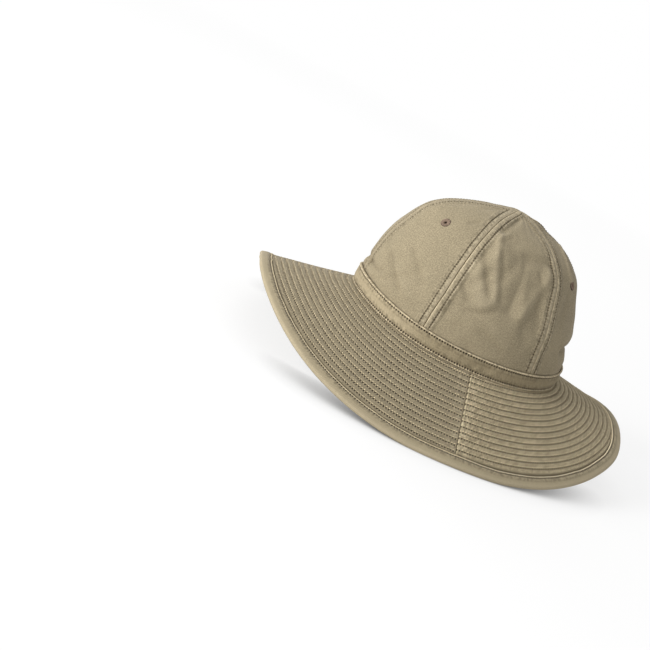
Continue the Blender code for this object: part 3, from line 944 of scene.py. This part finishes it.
def cloth_material(name, colour, twill_angle, grain, row_shade, row_width, gap_shade, hole_shade):
    """Washed cotton twill: fine diagonal ribs, heathered yarn, rubbed edges, needle holes, painted highlights
    and shade.
    """
    made = Nodes(name)
    weave, u, v = made.uv("weave")
    _, along, away = made.uv("stitch")
    shading_and_wear = made.value("shading_and_wear")
    cosine, sine = math.cos(math.radians(twill_angle)), math.sin(math.radians(twill_angle))
    across = made.plus(made.times(u, cosine), made.times(v, sine))
    down = made.minus(made.times(v, cosine), made.times(u, sine))
    rib = made.math("SINE", made.times(across, 2 * math.pi / TWILL_PITCH))
    yarn = made.math("SINE", made.times(down, 4 * math.pi / TWILL_PITCH))
    streak_place = made.place(made.times(across, 1 / TWILL_PITCH), made.times(down, 1 / (8 * MM)))
    streak = made.noise(streak_place, 1.0)
    heather = made.noise(weave, 1 / (1.15 * MM), 2.0, 0.6)
    slub = made.noise(weave, 1 / (6 * MM), 3.0, 0.6)
    fade = made.noise(weave, 1 / (32 * MM))
    ripple_place = made.place(made.times(along, 1.1), made.times(made.plus(u, v), 1 / (4 * MM)))
    ripple = made.noise(ripple_place, 1.0, 1.0)

    pale, deep = scaled(colour, 1.45), scaled(colour, 0.52)
    worn_and_lit = tuple(min(part * 1.8 + 0.09, 1) for part in colour) + (1,)
    tone = made.mix(made.map_range(heather, 0.32, 0.68, 0.0, 1.0), deep, pale)
    base = made.mix(grain, (*colour, 1), tone)
    for cause, low, high, at_low, at_high, tint in (
        (streak, 0.35, 0.65, 0.16, 0.0, deep),
        (rib, -1.0, 1.0, 0.22, 0.0, deep),
        (slub, 0.35, 0.65, 0.0, 0.14, deep),
        (fade, 0.35, 0.65, 0.0, 0.12, pale),
        # The stored value paints the cloth pale above 0, for rubbing and for painted highlights, strongly
        # pale from 2.5 for a painted highlight, and dark below 0 for painted shade.
        (shading_and_wear, 0.0, 1.45, 0.0, 1.0, worn_and_lit),
        (shading_and_wear, 2.5, 3.0, 0.0, 1.0, scaled(colour, 2.5)),
        (shading_and_wear, -1.0, 0.0, 0.9, 0.0, scaled(colour, 0.22)),
    ):
        base = made.mix(made.map_range(cause, low, high, at_low, at_high), base, tint)

    # Along a row of stitches: painted shade in the groove, painted shade in the dimples across it, painted
    # highlights beside it, and painted shade in the needle holes
    phase = made.math("ABSOLUTE", made.minus(made.math("FRACT", along), 0.5))
    groove = made.map_range(away, 0.15, row_width, row_shade, 0.0)
    groove = made.times(groove, made.map_range(phase, 0.10, 0.26, gap_shade, 1.0))
    near_row = made.map_range(away, 2.8, 4.5, 1.0, 0.0)
    dimple_shade = made.times(near_row, made.map_range(ripple, 0.38, 0.58, 0.66, 0.0))
    fleck = made.value("lit")
    for cause, low, high, at_low, at_high in (
        (away, 0.65, 0.95, 0.0, 1.0),
        (away, 1.4, 2.0, 1.0, 0.0),
        (phase, 0.18, 0.36, 0.0, 1.0),
        (ripple, 0.40, 0.55, 0.4, 1.0),
    ):
        fleck = made.times(fleck, made.map_range(cause, low, high, at_low, at_high))
    hole = made.map_range(phase, 0.19, 0.27, 0.0, 1.0)
    hole = made.times(hole, made.map_range(away, 0.60, 0.95, 1.0, 0.0))
    red, green, blue = colour
    for share, tint in (
        (groove, scaled(colour, 0.30)),
        (dimple_shade, deep),
        (fleck, scaled(colour, min(2.5, 0.97 / red))),
        (made.times(hole, hole_shade), scaled((red, 0.7 * green, 0.4 * blue), 0.05)),
    ):
        base = made.mix(share, base, tint)

    height = streak
    for part, share in ((rib, 0.5), (yarn, 0.25), (heather, 2.0), (hole, -2.0)):
        height = made.plus(height, made.times(part, share))
    height = made.plus(height, made.times(made.times(ripple, near_row), 13.0))
    roughness = made.map_range(heather, 0.3, 0.7, 0.80, 0.94)
    sheen = {"Sheen Weight": 0.08, "Sheen Roughness": 0.5}
    inputs = {"Roughness": roughness, "Specular IOR Level": 0.2, **sheen}
    return made.finish(base, height, 0.6, 0.12 * MM, inputs)


def thread_material(name, colour, edge_shade_colour):
    """Cotton thread: a fine even fleck, with no map, and painted shade at the edge where an edge colour is
    given.
    """
    made = Nodes(name)
    place = made.add("ShaderNodeTexCoord").outputs["Object"]
    fleck = made.noise(place, 1 / (0.5 * MM))
    patch = made.noise(place, 1 / (9 * MM))
    dark, pale = scaled(colour, 0.6), scaled(colour, 1.45)
    base = made.mix(made.map_range(fleck, 0.3, 0.7, 0.0, 1.0), dark, pale)
    base = made.mix(made.map_range(patch, 0.3, 0.7, 0.0, 0.3), base, pale)
    if edge_shade_colour:
        base = made.mix(made.value("edge"), base, (*edge_shade_colour, 1))
    inputs = {"Roughness": 0.7, "Specular IOR Level": 0.3}
    return made.finish(base, fleck, 0.4, 0.06 * MM, inputs)


# Pieces


def panel_columns(panel, rise):
    """Turns across a panel at each rise, closer together beside its seams."""
    left, right = seam_turn(panel, rise), seam_turn(panel + 1, rise)
    _, speed, _ = crown_frame((left + right) / 2, rise)
    half = (right - left) / 2 * speed
    squeeze = np.minimum(half / PANEL_MARGIN_ROOM, 1)[:, None]
    near = np.array(PANEL_MARGIN)[None, :] * MM * squeeze
    shares = np.arange(1, PANEL_COLUMNS + 1) / PANEL_COLUMNS
    rest = near[:, -1:] + (half[:, None] - near[:, -1:]) * shares[None, :]
    offsets = np.concatenate([near, rest], axis=1) / speed[:, None]
    rights = (right[:, None] - offsets)[:, ::-1][:, 1:]
    return np.concatenate([left[:, None] + offsets, rights], axis=1)


def panel_shading_and_wear(rise, length, nearer, seed, near_front):
    """Cloth rubbed pale and painted highlights above 0, and painted shade below it, along the seams."""
    row = stitch_offset(length, seed)
    flecked = 0.7 + 0.7 * smooth_noise(length / (2.2 * MM), seed)
    # Painted shade on the seam's bank on the side towards the front, and a painted highlight on its far bank,
    # fading on the way up.
    near_bank_shade = -0.75 * bump(nearer, 0.55 * MM)
    far_bank_highlight = 0.75 * bump(nearer - 0.6 * MM, 0.5 * MM) * (1 - 0.8 * rising(rise, 0.4, 0.6))
    edge = np.where(near_front, near_bank_shade, far_bank_highlight) * flecked
    # The strip between the seam and its row is painted paler, more on the side towards the front, for rubbing
    # and as painted highlight; past the row lies a painted highlight, stronger on the far side.
    strip = np.where(near_front, 0.50, 0.22) * falling(nearer, row - 1.2 * MM, row - 0.4 * MM)
    past_row_highlight = np.where(near_front, 0.25, 0.9) * bump(nearer - row - 1.1 * MM, 0.5 * MM)
    return edge + strip + past_row_highlight


def crown_panel(panel, material, needlework_material):
    name = CROWN_SEAMS[panel][2]
    rises = np.linspace(0, rise_at_radius(TIP_RADIUS), PANEL_ROWS)
    turn = panel_columns(panel, rises)
    rise = np.broadcast_to(rises[:, None], turn.shape)
    face, normal, nearer = crown_surface(turn, rise, panel)
    allowance = SEAM_ALLOWANCE * falling(nearer, *ALLOWANCE_EDGE)
    back = face - normal * (CROWN_WALL + allowance)[..., None]
    # Inside, the panels close on each other under the open groove of the seam
    close = PANEL_MARGIN[0] / (PANEL_MARGIN[1] - PANEL_MARGIN[0])
    back[:, 0] -= (face[:, 1] - face[:, 0]) * close
    back[:, -1] += (face[:, -1] - face[:, -2]) * close

    # The stretch inside the band stands upright on the seat
    foot_turn, outward = turn[0], unit(normal[0] * (1, 1, 0))
    seat = seat_height(foot_turn) + CLEARANCE
    for share in (0.5, 1.0):
        lower = crown_point(foot_turn, np.zeros_like(foot_turn))
        lower[:, 2] += (seat - lower[:, 2]) * share
        turn, rise = np.insert(turn, 0, foot_turn, axis=0), np.insert(rise, 0, 0, axis=0)
        face = np.insert(face, 0, lower, axis=0)
        back = np.insert(back, 0, lower - outward * CROWN_WALL, axis=0)

    hole = None
    if CROWN_SEAMS[panel][3] is not None:
        centre, _ = eyelet_centre(panel)
        cell = (face[:-1, :-1] + face[1:, 1:] + face[:-1, 1:] + face[1:, :-1]) / 4
        hole = np.linalg.norm(cell - centre, axis=-1) < EYELET_CUT_RADIUS
    mesh = wall_mesh("panel_" + name, face, back, False, hole)

    _, speed, _ = crown_frame(turn, rise)
    length = crown_length(rise)
    nearer, seed, near_front, show = beside_seam(turn, rise, panel)
    away = np.abs(nearer - stitch_offset(length, seed)) / MM + 1.1 * (1 - show)
    away = np.where(rise > 0, away, NO_ROW)
    shading_and_wear = panel_shading_and_wear(rise, length, nearer, seed, near_front) * show
    # Painted highlights on the creases' ridges and painted shade in their valleys.
    shading_and_wear = shading_and_wear + 0.10 * np.clip(crease_lift(turn, rise) / MM, -1.5, 1.5)
    # Painted shade on the crown's foot, below the band's upper edge.
    shading_and_wear = np.where(rise > 0, shading_and_wear, -0.7)
    weave = ((turn - panel_middle(panel, rise)) * speed, length + 0.2 * panel)
    dress_wall(mesh, weave, (length / STITCH_LENGTH, away), shading_and_wear)

    threads = panel_stitches(panel).add_piece("panel_stitches_" + name, needlework_material, "crown_cloth")
    return add_piece("panel_" + name, mesh, material, "crown_cloth", "crown_" + name), threads


def panel_stitches(panel):
    """The rows beside a panel's two seams, from the band up to where they would meet."""
    needlework = Needlework()
    rises = np.linspace(0, 1, PATH_STEPS) * rise_at_radius(TIP_RADIUS)
    middle = panel_middle(panel, rises)
    _, speed, _ = crown_frame(middle, rises)
    for side in (0, 1):
        seam = seam_turn(panel + side, rises)
        offset = stitch_offset(crown_length(rises), seam_seed(panel, side)) / speed
        apart = np.logical_and.accumulate(offset <= np.abs(middle - seam))
        turns = (seam + offset * (1 - 2 * side))[apart]
        path, normals, _ = crown_surface(turns, rises[apart], panel)
        length = crown_length(rises[apart])
        stitches = int(length[-1] / STITCH_LENGTH)
        keep = length <= stitches * STITCH_LENGTH
        path, normals = path[keep], normals[keep]
        needlework.add_row(path, normals, stitches)
        inside = path - normals * (CROWN_WALL + SEAM_ALLOWANCE)
        needlework.add_row(inside, -normals, stitches, stations=HIDDEN_STATIONS)
    return needlework


def eyelet_centre(panel):
    turn, rise = CROWN_SEAMS[panel][3:]
    centre, normal, _ = crown_surface(np.radians([turn]), np.array([rise]), panel)
    return centre[0], normal[0]


def eyelet(panel, material):
    """A ring of buttonhole stitches, closed round its hole, one ridge for each stitch."""
    name = CROWN_SEAMS[panel][2]
    centre, normal = (Vector(part) for part in eyelet_centre(panel))
    side = Vector((0, 0, 1)).cross(normal).normalized()
    turned = Matrix((side, normal.cross(side), normal)).transposed().to_4x4()
    world = np.array(Matrix.Translation(centre - normal * CROWN_WALL / 2) @ turned)
    steps = EYELET_STITCHES * EYELET_STEPS
    angle = np.arange(steps) * 2 * math.pi / steps
    ridge = np.abs(np.sin(angle * EYELET_STITCHES / 2)) ** 0.7
    number = np.floor(angle * EYELET_STITCHES / (2 * math.pi)).astype(int)
    uneven = np.random.default_rng(panel).uniform(-1, 1, EYELET_STITCHES)[number]
    outer_edge = EYELET_RADIUS + 0.10 * MM * uneven * ridge
    middle = (EYELET_HOLE_RADIUS + outer_edge) / 2
    half = (outer_edge - EYELET_HOLE_RADIUS) / 2
    half_height = CROWN_WALL / 2 + EYELET_PROUD * (0.55 + 0.75 * ridge)
    around = np.linspace(0, 2 * math.pi, EYELET_PROFILE_STEPS, endpoint=False)
    c, s = np.cos(around)[:, None], np.sin(around)[:, None]
    radius = middle + half * c
    ring = points(radius * np.cos(angle), radius * np.sin(angle), half_height * np.sign(s) * np.abs(s) ** 0.7)
    index = np.arange(ring[..., 0].size).reshape(ring.shape[:2])
    next_row = np.roll(index, -1, axis=0)
    faces = [index, np.roll(index, -1, axis=1), np.roll(next_row, -1, axis=1), next_row]
    faces = np.stack(faces, axis=-1).reshape(-1, 4)
    vertices = ring.reshape(-1, 3) @ world[:3, :3].T + world[:3, 3]
    mesh = new_mesh("worked_eyelet_" + name, vertices, faces)
    # Painted shade along the ring's outer edge, where it meets the cloth.
    set_value(mesh, "edge", np.broadcast_to(rising(c, 0.55, 0.9), radius.shape))
    return add_piece("worked_eyelet_" + name, mesh, material, "eyelet_thread", "eyelet_" + name)


def ring_way(path):
    """The way to each point of a closed path, its whole length and the stitches round it."""
    way = way_along(np.concatenate([path, path[:1]]))
    return way[:-1], way[-1], stitch_count(way[-1])


def band_face(turn, height, out):
    """Points of the band's outer face, with the crinkles between its two rows of stitches."""
    from_edge = np.minimum(height, BAND_HEIGHT - height)
    crinkle = smooth_noise(turn * 16 + height / (14 * MM), height / (9 * MM))
    wrinkle = smooth_noise(turn * 34 - height / (5 * MM), height / (12 * MM) + 4)
    crinkle = (crinkle * 0.50 + wrinkle * 0.32) * MM * rising(from_edge, 1.6 * MM, 4 * MM)
    crinkle = crinkle + smooth_noise(turn * 5, height * 0) * 0.15 * MM
    crinkle = crinkle + 1.2 * MM * bump(np.sin(turn / 2), 0.25)
    return head_point(turn, -(out + crinkle), seat_height(turn) + CLEARANCE + height)


def hat_band(material, needlework_material):
    height_mm = BAND_HEIGHT / MM
    upper = [(height_mm - height, out) for height, out in reversed(BAND_PROFILE)]
    heights, outs = np.array([*BAND_PROFILE, *upper]).T[..., None] * MM
    turn = np.arange(RING_STEPS) * 2 * math.pi / RING_STEPS
    grid_turn, height, out = np.broadcast_arrays(turn, heights, outs)
    outer = band_face(grid_turn, height, out)
    inner = head_point(grid_turn, BAND_WALL, seat_height(grid_turn) + CLEARANCE + height)
    mesh = wall_mesh("band_strip", outer, inner, True)

    way, length, stitches = ring_way(outer[0])
    stitch_height, stitch_out = np.array(BAND_PROFILE[BAND_STITCH_ROW]) * MM
    from_edge = np.minimum(height, BAND_HEIGHT - height)
    to_side = rising(from_front(grid_turn), *BAND_FRONT_STRETCH)
    # Pale lips along both edges, rubbed and with painted highlights, the lower lip the brightest, and the
    # band paler at the front.
    worn_and_lit = np.where(height < BAND_HEIGHT / 2, 2.0, 1.0 + 0.6 * to_side)
    shading_and_wear = bump(from_edge - 0.7 * MM, 0.85 * MM) * worn_and_lit + 0.45 * (1 - to_side)
    stitch = (way / length * stitches, np.abs(from_edge - stitch_height) / MM)
    dress_wall(mesh, (way, height), stitch, shading_and_wear, periods=(length, stitches))
    piece = add_piece("band_strip", mesh, material, "band_cloth", "hat_band")

    needlework = Needlework()
    outward = unit(points(np.sin(turn), -np.cos(turn), 0 * turn))
    for level in (stitch_height, BAND_HEIGHT - stitch_height):
        path = band_face(turn, np.full(RING_STEPS, level), stitch_out)
        needlework.add_row(path, outward, stitches, True)
    return piece, needlework.add_piece("band_stitches", needlework_material, "band_cloth")


def brim_maps(turns, rows):
    """The brim's weave and stitch maps, each as the grids of its two numbers."""
    _, _, length, _ = brim_frame(turns)
    spread = 0.94 + 0.17 * falling(from_front(turns), *FRONT_STRETCH)
    weave, stitch = [], []
    for row in rows:
        near = np.clip(np.round(row), 0, ROW_COUNT - 1)
        here = row_distance(turns, row, length)
        gap = np.abs(here - row_distance(turns, near, length))
        away = gap / MM
        if row < FOOT_ROWS[0] or row > ROW_COUNT:
            away = np.full(len(turns), NO_ROW)
        elif row < FOOT_ROWS[1]:
            # A second row, where the first one lies far enough from the band to leave room for it
            away = NO_ROW * falling(gap, 1.6 * MM, 2.6 * MM)
        way = row_way(turns, near)
        weave.append((row_way(turns, row), here))
        stitch.append((way / way[-1] * stitch_count(way[-1]), away * spread))
    return np.swapaxes(weave, 0, 1), np.swapaxes(stitch, 0, 1)


def brim_shading_and_wear(name, turns, rows, first, last):
    """Pale puffs, marks beside the two seams, painted shade and highlights at them, and painted shade at the
    binding.
    """
    rows = rows[:, None]
    across = np.minimum(turns - first, last - turns) * (HEAD_HALF_WIDTH + rows * ROW_PITCH)
    if name == "front":
        # Painted shade in the seam's ditch and along a line 6 mm from it, on the front half.
        shading_and_wear = -0.9 * bump(across, 0.50 * MM) - 0.35 * bump(across - 6.2 * MM, 0.6 * MM)
    else:
        # A painted highlight on the ditch's bank, on the back half.
        shading_and_wear = 0.75 * bump(across - 0.4 * MM, 0.35 * MM)
    marks = smooth_noise(rows * 4.1, across / (4 * MM))
    shading_and_wear = shading_and_wear + (0.20 + 0.45 * marks) * (across < BRIM_SEAM_STRIP)
    shading_and_wear = shading_and_wear + 0.16 * np.sin(np.pi * (rows - np.floor(rows))) ** 2
    # Painted shade on the brim by the binding's edge.
    return shading_and_wear - 1.0 * ((rows > ROW_COUNT - 0.25) & (rows <= ROW_COUNT))


def brim_half(name, first, last, material, needlework_material):
    seams = (first, last)
    edge_gap = SEAM_GAP / 2 / RIM_HALF_WIDTH
    beside = np.array(BRIM_MARGIN) * MM / BRIM_MIDDLE_RADIUS
    turns = np.linspace(first + edge_gap + beside[-1], last - edge_gap - beside[-1], BRIM_STEPS + 1)
    turns = np.concatenate([first + edge_gap + beside[:-1], turns, last - edge_gap - beside[-2::-1]])
    rows = [number + share for number in range(ROW_COUNT) for share in ROW_SHARES]
    rows = np.array([*FOOT_ROWS, *rows, ROW_COUNT, ROW_COUNT + 0.8])
    turn, row = np.broadcast_arrays(turns, rows[:, None])
    top, _ = brim_surface(turn, row, 1, seams)
    bottom, _ = brim_surface(turn, row, -1, seams)
    # The seat, level under the crown's foot
    height = seat_height(turns)
    for inset in (0, BAND_WALL + CLEARANCE + CROWN_WALL):
        top = np.insert(top, 0, head_point(turns, inset, height), axis=0)
        bottom = np.insert(bottom, 0, head_point(turns, inset, height - BRIM_WALL), axis=0)
    rows = np.array([*SEAT_ROWS, *rows])
    mesh = wall_mesh("brim_" + name, top, bottom, False)
    weave, stitch = brim_maps(turns, rows)
    shading_and_wear = brim_shading_and_wear(name, turns, rows, first, last)
    dress_wall(mesh, weave, stitch, shading_and_wear, inside=1, shift=UNDERSIDE_SHIFT)
    # Painted highlights beside each row of stitches, on its side towards the band.
    lit = np.repeat(rows - np.floor(rows) > 0.7, len(turns))
    set_value(mesh, "lit", np.concatenate([lit, lit]))
    piece = add_piece("stitched_brim_" + name, mesh, material, "brim_cloth", "brim_" + name)

    needlework = Needlework()
    fine = np.linspace(turns[0], turns[-1], 3 * BRIM_STEPS + 1)
    for number in range(ROW_COUNT):
        stitches = stitch_count(row_way(turns, number)[-1])
        for side, stations in ((1, STITCH_STATIONS), (-1, HIDDEN_STATIONS)):
            path, normals = brim_surface(fine, float(number), side, seams)
            needlework.add_row(path, normals, stitches, stations=stations)
    return piece, needlework.add_piece("brim_stitches_" + name, needlework_material, "brim_cloth")


def binding_profile():
    """The binding's section, outside and inside: distance in from the rim, and height."""
    fold = [
        (BINDING_HALF_DEPTH * (1 - math.sin(angle)), BINDING_HALF_DEPTH * math.cos(angle))
        for angle in np.linspace(0, math.pi, BINDING_FOLD_STEPS + 1)
    ]
    upper = [(inset * MM, height * MM) for inset, height in BINDING_PROFILE]
    lower = [(inset, -height) for inset, height in reversed(upper)]
    outside = np.array(upper + fold + lower)
    cloth = BINDING_WALL - CLEARANCE
    inset, height = outside.T
    depth = np.clip(np.abs(height) - cloth, 0, BRIM_WALL / 2 + 0.05 * MM)
    inside = np.stack([np.maximum(inset, cloth + 0.4 * MM), np.sign(height) * depth], axis=1)
    inside[[0, -1], 0] = BINDING_LIP
    inside[[0, -1], 1] = (BRIM_WALL / 2 + 0.02 * MM, -BRIM_WALL / 2 - 0.02 * MM)
    return outside, inside


def brim_binding(material, needlework_material):
    outside, inside = binding_profile()
    turn = np.arange(RING_STEPS) * 2 * math.pi / RING_STEPS
    foot, outward, length, normal = brim_frame(turn)
    rim = foot + outward * length[:, None]
    waver = smooth_noise(turn * 20, turn * 0 + 5) * 0.22 * MM

    def face(profile, ripple):
        inset, height = profile.T[..., None]
        wrinkle = smooth_noise(turn * 70 + inset * 260, inset * 160) * ripple * 0.10 * MM
        at = rim - outward * (inset + waver * ripple * (inset > 8 * MM))[..., None]
        at = at + normal * (height + np.sign(height) * wrinkle)[..., None]
        at[..., 2] = np.maximum(at[..., 2], 0)
        return at

    outer = face(outside, 1)
    mesh = wall_mesh("binding_strip", outer, face(inside, 0), True)
    way, length, stitches = ring_way(rim)
    inset, height = outside.T[..., None]
    away = np.abs(inset - BINDING_STITCH) / MM + 4 * rising(inset, 9.8 * MM, 10.2 * MM)
    stitch = (way / length * stitches, away)
    # A painted highlight on the lip at the inner edge, strongest at the front; the outer edge is painted
    # pale, rubbed and with a painted highlight, and the upper face paler.
    lip_highlight = 3.4 - 1.8 * rising(from_front(turn), 86, 108)
    shading_and_wear = bump(inset, 3.2 * MM) * 0.36 + 0.24 * (height > 0) * falling(inset, 8.2 * MM, 9.0 * MM)
    shading_and_wear = shading_and_wear + bump(inset - 10.5 * MM, 0.9 * MM) * lip_highlight
    weave = (way, way_along(outside)[:, None])
    dress_wall(mesh, weave, stitch, shading_and_wear, periods=(length, stitches))
    piece = add_piece("binding_strip", mesh, material, "binding_cloth", "brim_binding")

    needlework = Needlework()
    row = np.argmin(np.abs(outside[: len(BINDING_PROFILE), 0] - BINDING_STITCH))
    needlework.add_row(outer[row], normal, stitches, True)
    needlework.add_row(outer[-1 - row], -normal, stitches, True)
    return piece, needlework.add_piece("binding_stitches", needlework_material, "binding_cloth")


# The studio


def camera_axes():
    azimuth, elevation, roll = np.radians(CAMERA_ANGLES)
    level = math.cos(elevation)
    backward = Vector((math.sin(azimuth) * level, -math.cos(azimuth) * level, math.sin(elevation)))
    right = Vector((0, 0, 1)).cross(backward).normalized()
    upward = backward.cross(right)
    across = right * math.cos(roll) + upward * math.sin(roll)
    above = upward * math.cos(roll) - right * math.sin(roll)
    return across, above, backward


def add_camera():
    across, above, backward = camera_axes()
    turned = Matrix((across, above, backward)).transposed()
    focal = CAMERA_LENS / SENSOR * IMAGE_SIDE
    middle = IMAGE_SIDE / 2
    aim = Vector(((AIM_PIXEL[0] - middle) / focal, (middle - AIM_PIXEL[1]) / focal, -1)).normalized()
    turned = turned @ aim.rotation_difference(Vector((0, 0, -1))).to_matrix()
    camera = bpy.data.objects.new("camera", bpy.data.cameras.new("camera"))
    camera.data.lens = CAMERA_LENS
    camera.data.sensor_width = SENSOR
    camera.data.clip_start = 0.05
    camera.data.clip_end = 100
    camera.matrix_world = Matrix.Translation(AIM_POINT + backward * CAMERA_DISTANCE) @ turned.to_4x4()
    bpy.context.scene.collection.objects.link(camera)
    bpy.context.scene.camera = camera


def add_softbox(name, direction, power):
    """A square light, in a direction of so much right, up and near in the camera's view."""
    axes = zip(camera_axes(), direction)
    towards = sum((axis * share for axis, share in axes), Vector()).normalized()
    light = bpy.data.lights.new(name, "AREA")
    light.shape = "SQUARE"
    light.size = SOFTBOX_SIZE
    light.energy = power
    lamp = bpy.data.objects.new(name, light)
    lamp.location = AIM_POINT + towards * SOFTBOX_DISTANCE
    lamp.rotation_mode = "QUATERNION"
    lamp.rotation_quaternion = towards.to_track_quat("Z", "Y")
    bpy.context.scene.collection.objects.link(lamp)


def seen_or_cast(tree, seen, cast):
    """A strength for what the camera sees, and another for what lights the hat."""
    path = tree.nodes.new("ShaderNodeLightPath")
    choice = tree.nodes.new("ShaderNodeMapRange")
    tree.links.new(path.outputs["Is Camera Ray"], choice.inputs[0])
    choice.inputs[3].default_value = cast
    choice.inputs[4].default_value = seen
    return choice.outputs[0]


def add_floor():
    """A pale floor that passes into the white of the background before its edge, with painted contact shade
    near the hat.
    """
    mesh = bpy.data.meshes.new("floor")
    corners = [(x * FLOOR_HALF, y * FLOOR_HALF, 0) for x, y in ((-1, -1), (1, -1), (1, 1), (-1, 1))]
    mesh.from_pydata(corners, [], [(0, 1, 2, 3)])
    floor = bpy.data.objects.new("floor", mesh)
    bpy.context.scene.collection.objects.link(floor)
    made = Nodes("floor")
    made.link(seen_or_cast(made.tree, FLOOR_SHADE, FLOOR_ALBEDO), made.shader.inputs["Base Color"])
    # The floor glows for the camera, and its glow is dimmed near the hat as painted contact shade.
    contact_shade = made.add("ShaderNodeAmbientOcclusion", samples=8)
    contact_shade.inputs["Distance"].default_value = CONTACT_REACH
    glow = made.times(contact_shade.outputs["AO"], seen_or_cast(made.tree, FLOOR_GLOW, 0.0))
    made.link(glow, made.shader.inputs["Emission Strength"])
    made.shader.inputs["Emission Color"].default_value = (1, 1, 1, 1)
    made.shader.inputs["Roughness"].default_value = 0.9
    made.shader.inputs["Specular IOR Level"].default_value = 0.0
    far = made.add("ShaderNodeVectorMath", operation="LENGTH")
    made.link(made.add("ShaderNodeNewGeometry").outputs["Position"], far.inputs[0])
    background = made.add("ShaderNodeEmission")
    made.link(seen_or_cast(made.tree, BACKGROUND, AMBIENT), background.inputs["Strength"])
    both = made.add("ShaderNodeMixShader")
    share = made.map_range(far.outputs["Value"], *FLOOR_FADING, 0.0, 1.0)
    made.put((share, made.shader.outputs[0], background.outputs[0]), both.inputs)
    made.link(both.outputs[0], made.tree.nodes["Material Output"].inputs["Surface"])
    mesh.materials.append(made.material)


def add_world():
    world = bpy.data.worlds.new("studio")
    world.use_nodes = True
    tree = world.node_tree
    sky = tree.nodes["Background"]
    sky.inputs["Color"].default_value = (1, 1, 1, 1)
    tree.links.new(seen_or_cast(tree, BACKGROUND, AMBIENT), sky.inputs["Strength"])
    bpy.context.scene.world = world
    bpy.context.scene.view_settings.view_transform = "Standard"


def main():
    add_camera()
    add_world()
    add_floor()
    for softbox in SOFTBOXES:
        add_softbox(*softbox)
    twill = {name: cloth_material(name + "_twill", *row) for name, row in TWILLS.items()}
    thread = {name: thread_material(name + "_thread", *row) for name, row in THREADS.items()}

    quarter = math.pi / 2
    front, front_threads = brim_half("front", -quarter, quarter, twill["brim_front"], thread["brim"])
    back, back_threads = brim_half("back", quarter, 3 * quarter, twill["brim_back"], thread["brim"])
    binding, binding_threads = brim_binding(twill["binding"], thread["cotton"])
    band, band_threads = hat_band(twill["band"], thread["cotton"])
    for panel in range(6):
        piece, threads = crown_panel(panel, twill["crown"], thread["seam"])
        if CROWN_SEAMS[panel][3] is not None:
            eyelet(panel, thread["eyelet"])


main()
